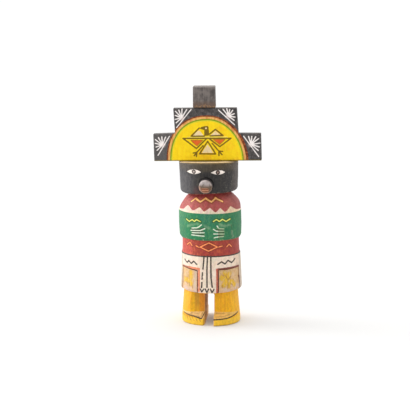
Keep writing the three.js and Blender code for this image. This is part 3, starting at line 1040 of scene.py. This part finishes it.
# The snout: a short dowel with a whittled, rounded end, pushed into a hole drilled in the
# face. It is thinly painted grey, browner below, with a painted highlight lighter towards the
# top, painted shade on the right of its rim, and a mouth of brown and peach lines across its end.
PEG_INSET = 0.05
peg = snout_rod(
    SNOUT["radius"] - PEG_INSET, face_depth + PEG_INSET, SNOUT["reach"] - PEG_INSET, SNOUT["round"], 0.3,
)
snout_mesh = mesh_from(peg, "snout_peg")
spot = points_of(snout_mesh)
snout_mid = np.array([float(drift(SNOUT["height"])), 0, SNOUT["height"]])
off = spot - snout_mid
tip_drop = math.tan(math.radians(SNOUT["droop"]))
above = off[:, 2] - off[:, 1] * tip_drop
spread = np.hypot(off[:, 0], above)
ease = 1 + 0.03 * (lumps(spot, 2.5, 5) - 1) * towards(spread, 1, 4)
spot[:, 0] = snout_mid[0] + off[:, 0] * ease
spot[:, 2] = snout_mid[2] + off[:, 1] * tip_drop + above * ease
move_points(snout_mesh, spot)
paint_on(snout_mesh, "above", above)
paint_on(snout_mesh, "aside", off[:, 0])
paint_on(snout_mesh, "reach", -off[:, 1])
rounded_edges(snout_mesh, 50)
set_down(snout_mesh)
snout = piece_from(snout_mesh, "snout_peg")

snout_look, wire = new_material("painted dowel")
place = wire.node("TexCoord", output=3)
above = read(wire, "above")
aside = read(wire, "aside")
blots = mottle(wire, place, 0.0018, 4)
rings = mottle(wire, place, 0.0008, 3, (1, 0.1, 1))
level = above + (mottle(wire, place, 0.0015) - 0.5) * 1.2
# grey paint, browner below, with a painted highlight lighter towards the top
base = level.ramp(-0.6, 3.4).mix(colour(114, 90, 72), colour(178, 167, 164))
base = (blots.ramp(0.45, 0.6) * level.ramp(1, 4, 0.75, 0.2)).mix(base, colour(86, 74, 60))
near_mouth = (aside + 0.8).size().ramp(2.5, 3.4, 1, 0)
base = ((level + 2.7).size().ramp(1.5, 2.1, 0.9, 0) * near_mouth).mix(base, colour(206, 140, 106))
for line in (-1.7, -3.6):
    base = ((level - line).size().ramp(0.3, 0.65, 1, 0) * near_mouth * 0.9).mix(base, colour(112, 68, 44))
rim = (above * above + aside * aside).ramp(20, 30)
base = coat(
    base,
    # painted shade on the right of the rim
    (rim * aside.ramp(-2, 2) * 0.7, 114, 100, 94),
    (rim * level.ramp(-4, -1, 0.8, 0), 174, 138, 120),
    (aside.ramp(-5.6, -4, 1, 0) * level.ramp(-2, 2, 0.7, 0), 200, 150, 128),
)
behind_end = (read(wire, "reach") + blots * 0.8).ramp(SNOUT["reach"] - 2.2, SNOUT["reach"] - 1.6, 1, 0)
base = behind_end.mix(base, colour(44, 40, 40))
base = shaded(wire, base, 0.85 + rings * 0.3)
painted(wire, base, 0.5 + rings * 0.2, rings + blots, 0.00015, 0.3)
snout.data.materials.append(snout_look)
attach(snout, "root")
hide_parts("snout")

# The tableta: a thin board sawn with two steps, its edges rubbed round, painted matt black
# with a rainbow-edged sun, a thunderbird and four sunbursts, and standing on the head.
# Its sizes are in millimetres from the middle of the front of its foot.
BOARD_THICKNESS = 6.5
BOARD_FRONT = -9.1
BOARD_MIDDLE = -2.4
BOARD_GAP = 0.3
BOARD_EDGE = 0.5
BOARD_STEP = 0.37
BOARD_WEAR = 0.06
BOARD_ROWS = [
    [(-44.8, 0), (-27.0, 0), (25.8, 0), (44.8, 0)],
    [(-45.2, 22.7), (-27.0, 23.3), (25.8, 22.9), (44.5, 22.7)],
    [None, (-28.1, 44.1), (24.7, 44.1), None],
]
SUN = {"middle": -0.2, "foot": -0.4, "half": 34.1, "height": 38.5, "left": 2.25, "right": 2.0}
RINGS = {"maroon": 1.1, "orange": 2.9, "green": 4.0}
BIRD_HEAD = [
    (-6.6, 27), (-5.1, 28.4), (-2.7, 29.1), (0.3, 29.3), (1.1, 28.4), (1.7, 21.3), (-2.6, 21),
    (-2.5, 25.7), (-4.2, 26.5),
]
BIRD_EYE = (-1.0, 27.4)
BOARD_BRUSH = {"bird": 1.2, "legs": 1.15, "eye": 0.75, "shoulders": 0.9, "bar": 0.8, "ray": 0.95}
BIRD_OUTLINES = [
    [(-6.7, 27.6), (-13.5, 20.8), (-2.6, 20.8)], [(2.1, 22.6), (6.8, 26.4), (13, 21.3), (2.2, 21)],
    [(-20.3, 19), (19.6, 18.9), (10.2, 11.9), (1.5, 18.7)], [(-20.3, 19), (-9.2, 10.4), (-0.9, 18.6)],
    [(0.2, 16.5), (-6.7, 6), (6.7, 5.8), (0.2, 16.5)],
]
BIRD_LEGS = [
    [(-3.7, 12.8), (-9.2, 7.1), (-12, 6.7)], [(-9.2, 7.1), (-11.2, 4.4)], [(-9, 7), (-9.4, 3.6)],
    [(3.9, 14.6), (9.3, 8.2), (12.6, 7.8)], [(9.3, 8.2), (12, 5.2)], [(9.3, 8.2), (9.4, 4.4)],
]
BIRD_CREAM = [
    [(-12, 21.3), (-7.7, 25.4), (-6.3, 25.3), (-3.2, 21.3)], [(2.6, 21.4), (6.8, 25.2), (11.2, 21.4)],
    [(0.1, 13.9), (-4.8, 6.8), (4.8, 6.7)],
]
BIRD_ORANGE = [[(-13.6, 17.2), (-4.2, 17.3), (-8.8, 12.8)], [(5.4, 17.8), (14.6, 17.9), (10.1, 14)]]
BIRD_SHOULDERS = [(-16.5, 19.9), (16.5, 19.9)]
SUNBURSTS = [
    {"bar": [(-13.1, 43.3), (-25.5, 28.1)], "hub": (-21.1, 36.2), "rays": [
        (-16.8, 43.1), (-20.7, 43.6), (-23.4, 42.8), (-26.2, 41.8), (-26.3, 38.3), (-26.6, 35.0),
        (-25.8, 32.1)]},
    {"bar": [(-31.6, 20.9), (-41.5, 4.9)], "hub": (-37.6, 13.7), "rays": [
        (-34.9, 20.2), (-38.0, 20.4), (-40.8, 19.7), (-43.4, 18.1), (-43.6, 15.0), (-43.0, 11.9),
        (-42.2, 9.1)]},
    {"bar": [(9.5, 42.6), (22.7, 30.2)], "hub": (17.8, 37.4), "rays": [
        (13.4, 43.2), (16.5, 43.6), (18.9, 43.0), (21.4, 42.3), (22.6, 39.4), (23.2, 36.6),
        (22.5, 33.9)]},
    {"bar": [(30.1, 20.6), (42.5, 3.4)], "hub": (36.3, 13.7), "rays": [
        (34.2, 20.3), (36.9, 20.4), (40.2, 20.1), (42.5, 18.5), (43.6, 14.7), (43.1, 11.4), (42.1, 8.6)]},
]


def cut_strips(shape, axis_number, breaks, step):
    """Cuts the edges that run along an axis, between each two breaks, into equal lengths."""
    for low, high in zip(breaks, breaks[1:]):
        run = []
        for edge in shape.edges:
            ends = [point.co for point in edge.verts]
            size = [abs(ends[0][i] - ends[1][i]) for i in range(3)]
            inside = all(low - 1.3 < end[axis_number] < high + 1.3 for end in ends)
            if inside and size[axis_number] > 0.6 * (high - low):
                run.append(edge)
        bmesh.ops.subdivide_edges(shape, edges=run, cuts=round((high - low) / step), use_grid_fill=True)


def stepped_board():
    """The sawn board: four panes in front, given their thickness, rounded and cut up fine."""
    shape = bmesh.new()
    rows = [[place and shape.verts.new((place[0], 0, place[1])) for place in row] for row in BOARD_ROWS]
    panes = []
    for lower, upper in zip(rows, rows[1:]):
        for i in range(3):
            corners = [lower[i], lower[i + 1], upper[i + 1], upper[i]]
            if all(corners):
                panes.append(shape.faces.new(corners))
    drawn_out(shape, panes, (0, BOARD_THICKNESS, 0))
    bmesh.ops.recalc_face_normals(shape, faces=shape.faces)
    sharp = [edge for edge in shape.edges if edge.calc_face_angle() > 1]
    bevelled(shape, sharp, BOARD_EDGE, 2)
    cut_strips(shape, 0, (-45, -27, 26, 45), BOARD_STEP)
    cut_strips(shape, 2, (0, 23, 44), BOARD_STEP)
    cut_strips(shape, 1, (0, BOARD_THICKNESS), 0.8)
    return mesh_from(shape, "stepped_board")


def inside_sun(across, height):
    """How far a place on the board is inside the sun's rounded arch, in millimetres."""
    fullness = np.where(across < SUN["middle"], SUN["left"], SUN["right"])
    x = np.abs(across - SUN["middle"]) / SUN["half"]
    z = np.maximum(height - SUN["foot"], 0) / SUN["height"]
    reach = np.maximum(x ** fullness + z ** fullness, 1e-6) ** (1 / fullness)
    slope = np.hypot(
        (x / reach) ** (fullness - 1) / SUN["half"], (z / reach) ** (fullness - 1) / SUN["height"],
    )
    return (1 - reach) / slope


def paint_board(mesh):
    across, along, height = points_of(mesh).T
    spot = np.stack([across, height], axis=1)
    behind = np.where(along > 0.35, 5.0, 0.0)
    paint_on(mesh, "sun", inside_sun(across, height) - 20 * behind)
    outlines = [from_line(spot, path, BOARD_BRUSH["bird"]) for path in BIRD_OUTLINES]
    legs = [from_line(spot, path, BOARD_BRUSH["legs"]) for path in BIRD_LEGS]
    head = from_shape(spot, BIRD_HEAD)
    eye = np.hypot(across - BIRD_EYE[0], height - BIRD_EYE[1]) - BOARD_BRUSH["eye"]
    paint_on(mesh, "bird_dark", np.minimum.reduce(outlines + legs + [np.maximum(head, -eye)]) + behind)
    paint_on(mesh, "bird_cream", np.minimum(nearest_shape(spot, BIRD_CREAM), eye) + behind)
    paint_on(mesh, "bird_orange", nearest_shape(spot, BIRD_ORANGE) + behind)
    paint_on(mesh, "bird_pale", from_line(spot, BIRD_SHOULDERS, BOARD_BRUSH["shoulders"]) + behind)
    strokes = []
    hubs = []
    for burst in SUNBURSTS:
        hub = np.array(burst["hub"])
        strokes.append(from_line(spot, burst["bar"], BOARD_BRUSH["bar"]))
        for end in burst["rays"]:
            strokes.append(from_line(spot, [hub, end], BOARD_BRUSH["ray"]))
        hubs.append(np.hypot(*(spot - hub).T))
    paint_on(mesh, "rays", np.min(strokes, axis=0) + behind)
    paint_on(mesh, "hub", np.min(hubs, axis=0) + behind)
    paint_on(mesh, "board_across", across)
    paint_on(mesh, "board_height", height + behind)
    foot, shelf, top = BOARD_ROWS
    ring = foot + [shelf[3], shelf[2], top[2], top[1], shelf[1], shelf[0]]
    paint_on(mesh, "from_edge", from_line(spot, ring + ring[:1], 0))


board_mesh = stepped_board()
spot = points_of(board_mesh)
paint_board(board_mesh)
worn = lumps(spot, 3, 7) * BOARD_WEAR - BOARD_WEAR
spot[:, 1] = np.where(spot[:, 1] < 3, spot[:, 1] - worn, spot[:, 1] + worn)
move_points(board_mesh, spot)
head_middle = BOARD_MIDDLE - float(drift(HEAD_TOP))
board_foot = Vector((BOARD_MIDDLE, BOARD_FRONT, HEAD_TOP + BOARD_GAP + head_middle * math.tan(LEAN)))
crown_place = Matrix.Translation(board_foot) @ Matrix.Rotation(-LEAN, 4, "Y")
board_mesh.transform(crown_place)
rounded_edges(board_mesh, 40)
set_down(board_mesh)
board = piece_from(board_mesh, "stepped_board")

board_look, wire = new_material("painted board")
place = wire.node("TexCoord", output=3)
wobble = (mottle(wire, place, 0.0012, 2) - 0.5) * 0.35
slow = mottle(wire, place, 0.009)
patches = mottle(wire, place, 0.005, 3, shift=3)
blotches = mottle(wire, place, 0.0026, 4, shift=7)
brushed = mottle(wire, place, 0.002, 4, (1, 1, 0.2), shift=5)
grain = mottle(wire, place, 0.001, 4, (1, 1, 0.08))
base = patches.ramp(0.35, 0.65).mix(colour(62, 59, 59), colour(84, 80, 79))
base = coat(
    base,
    (blotches.ramp(0.5, 0.62) * 0.5, 112, 106, 104),
    (read(wire, "board_across").ramp(-34, -20, 0.6, 0), 100, 97, 96),
)
sun = read(wire, "sun") + wobble
YELLOW = colour(255, 217, 14)
maroon = blotches.ramp(0.4, 0.6).mix(colour(112, 46, 20), colour(160, 84, 36))
base = sun.ramp(-0.15, 0.15).mix(base, maroon)
inner = sun - read(wire, "board_across").ramp(4, 30, 0, 0.9)
orange = brushed.ramp(0.4, 0.6).mix(colour(218, 146, 76), colour(240, 182, 104))
base = (inner - RINGS["maroon"]).ramp(-0.35, 0.35).mix(base, orange)
base = (inner - RINGS["orange"]).ramp(-0.2, 0.2).mix(base, colour(120, 156, 16))
base = (inner - RINGS["green"]).ramp(-0.2, 0.2).mix(base, YELLOW)
base = ((inner - RINGS["green"] - 0.4).size().ramp(0.2, 0.7, 0.6, 0)).mix(base, colour(196, 206, 60))
inner_sun = (inner - RINGS["green"] - 1).ramp(0, 2)
base = coat(
    base,
    (slow.ramp(0.52, 0.66) * inner_sun * 0.5, 246, 184, 24),
    (blotches.ramp(0.55, 0.7) * inner_sun * 0.25, 222, 176, 30),
    (brushed.ramp(0.56, 0.7) * inner_sun * 0.25, 255, 232, 60),
    # painted shade along the board's foot
    ((read(wire, "board_height") - 0.8 + wobble).ramp(-0.2, 0.4, 0.7, 0), 120, 102, 30),
)
cream = brushed.ramp(0.4, 0.6).mix(colour(246, 226, 176), colour(238, 206, 156))
base = stroke(wire, "bird_cream", wobble).mix(base, cream)
base = coat(
    base,
    (stroke(wire, "bird_orange", wobble, wider=0.5) * 0.75, 130, 64, 16),
    (stroke(wire, "bird_orange", wobble), 230, 104, 34),
    (stroke(wire, "bird_pale", wobble), 244, 220, 90),
    (stroke(wire, "bird_dark", wobble) * 0.84, 70, 46, 12),
)
wash = read(wire, "hub").ramp(0.4, 3.4, 0.7, 0) * sun.ramp(-0.6, -0.2, 1, 0)
base = coat(
    base,
    (wash * blotches.ramp(0.3, 0.5, 0.6, 1), 236, 212, 208),
    (stroke(wire, "rays", wobble) * 0.97, 252, 244, 240),
)
rubbed = (read(wire, "from_edge") + mottle(wire, place, 0.0015) * 1.6 - 0.55).ramp(0, 0.3, 0.5, 0)
base = rubbed.mix(base, colour(134, 120, 106))
tone = 0.8 + patches * 0.12 + grain * 0.18
tone = tone + blotches.ramp(0.36, 0.64) * 0.08 + brushed.ramp(0.38, 0.62) * 0.06
base = shaded(wire, base, tone)
painted(wire, base, 0.45 + patches * 0.25, grain * 0.5 + patches * 0.5 + brushed * 0.2, 0.0002, 0.25)
board.data.materials.append(board_look)
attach(board, "root")
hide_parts("tableta")

# The crown block: a small block of straight-grained wood on the board's top edge, washed with
# thin black, with the paint chipped off the corners of its foot, a painted highlight with wear
# along its top and a painted shadow along its foot.
BLOCK = {
    "foot": 9.5, "top": 9.3, "height": 18.4, "thickness": 8.5, "shift": -2.2, "edge": 0.7, "step": 0.4,
}


def crown_block():
    """The block, sawn a little out of square at its top, its edges rubbed and cut up fine."""
    shape = bmesh.new()
    low, high = -BLOCK["thickness"] / 2, BLOCK["thickness"] / 2
    foot = [(-BLOCK["foot"], low), (BLOCK["foot"], low), (BLOCK["foot"], high), (-BLOCK["foot"], high)]
    base_face = shape.faces.new([shape.verts.new((across, along, 0)) for across, along in foot])
    top = drawn_out(shape, [base_face], (0, 0, BLOCK["height"] - 0.3))
    bmesh.ops.scale(shape, verts=top, vec=(BLOCK["top"] / BLOCK["foot"], 1, 1))
    bmesh.ops.recalc_face_normals(shape, faces=shape.faces)
    bevelled(shape, shape.edges[:], BLOCK["edge"])
    cut_strips(shape, 0, (-BLOCK["foot"], BLOCK["foot"]), BLOCK["step"])
    cut_strips(shape, 1, (low, high), BLOCK["step"])
    cut_strips(shape, 2, (0, BLOCK["height"]), BLOCK["step"])
    return mesh_from(shape, "crown_block")


block_mesh = crown_block()
spot = points_of(block_mesh)
paint_on(block_mesh, "up", spot[:, 2])
block_centre = np.array([0, 0, BLOCK["height"] / 2])
dent = 1 + 0.008 * (lumps(spot, 4, 9) - 1) + 0.006 * (lumps(spot * [3, 3, 0.4], 2, 4) - 1)
spot = block_centre + (spot - block_centre) * dent[:, None]
move_points(block_mesh, spot)
board_height = BOARD_ROWS[2][1][1]
lift = Matrix.Translation((BLOCK["shift"], BOARD_THICKNESS / 2, board_height + BOARD_GAP))
block_mesh.transform(crown_place @ lift)
rounded_edges(block_mesh, 40)
set_down(block_mesh)
block = piece_from(block_mesh, "crown_block_wood")

block_look, wire = new_material("blackened block")
place = wire.node("TexCoord", output=3)
grain = mottle(wire, place, 0.0009, 5, (1, 1, 0.05))
patches = mottle(wire, place, 0.004)
blotches = mottle(wire, place, 0.0016, 4, shift=7)
up = read(wire, "up")
base = (grain * 0.5 + patches * 0.5).ramp(0.38, 0.62).mix(colour(78, 72, 70), colour(126, 117, 112))
base = coat(
    base,
    (up.ramp(3, 7, 0.75, 0), 112, 90, 76),
    # painted highlight with wear along the top
    (up.ramp(16.6, 17.4, 0, 0.35), 170, 162, 156),
)
chips = (blotches + up.ramp(0, 6, 0.12, -0.25)).ramp(0.52, 0.6)
base = coat(
    base,
    (chips * 0.85, 150, 116, 86),
    # painted shadow along the foot, where the block meets the board
    ((up - 0.35).ramp(0, 0.4, 0.6, 0), 40, 34, 32),
)
painted(wire, base, 0.6 + patches * 0.2, grain + chips * -0.6, 0.0003, 0.3)
block.data.materials.append(block_look)
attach(block, "root")
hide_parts("crown_block")
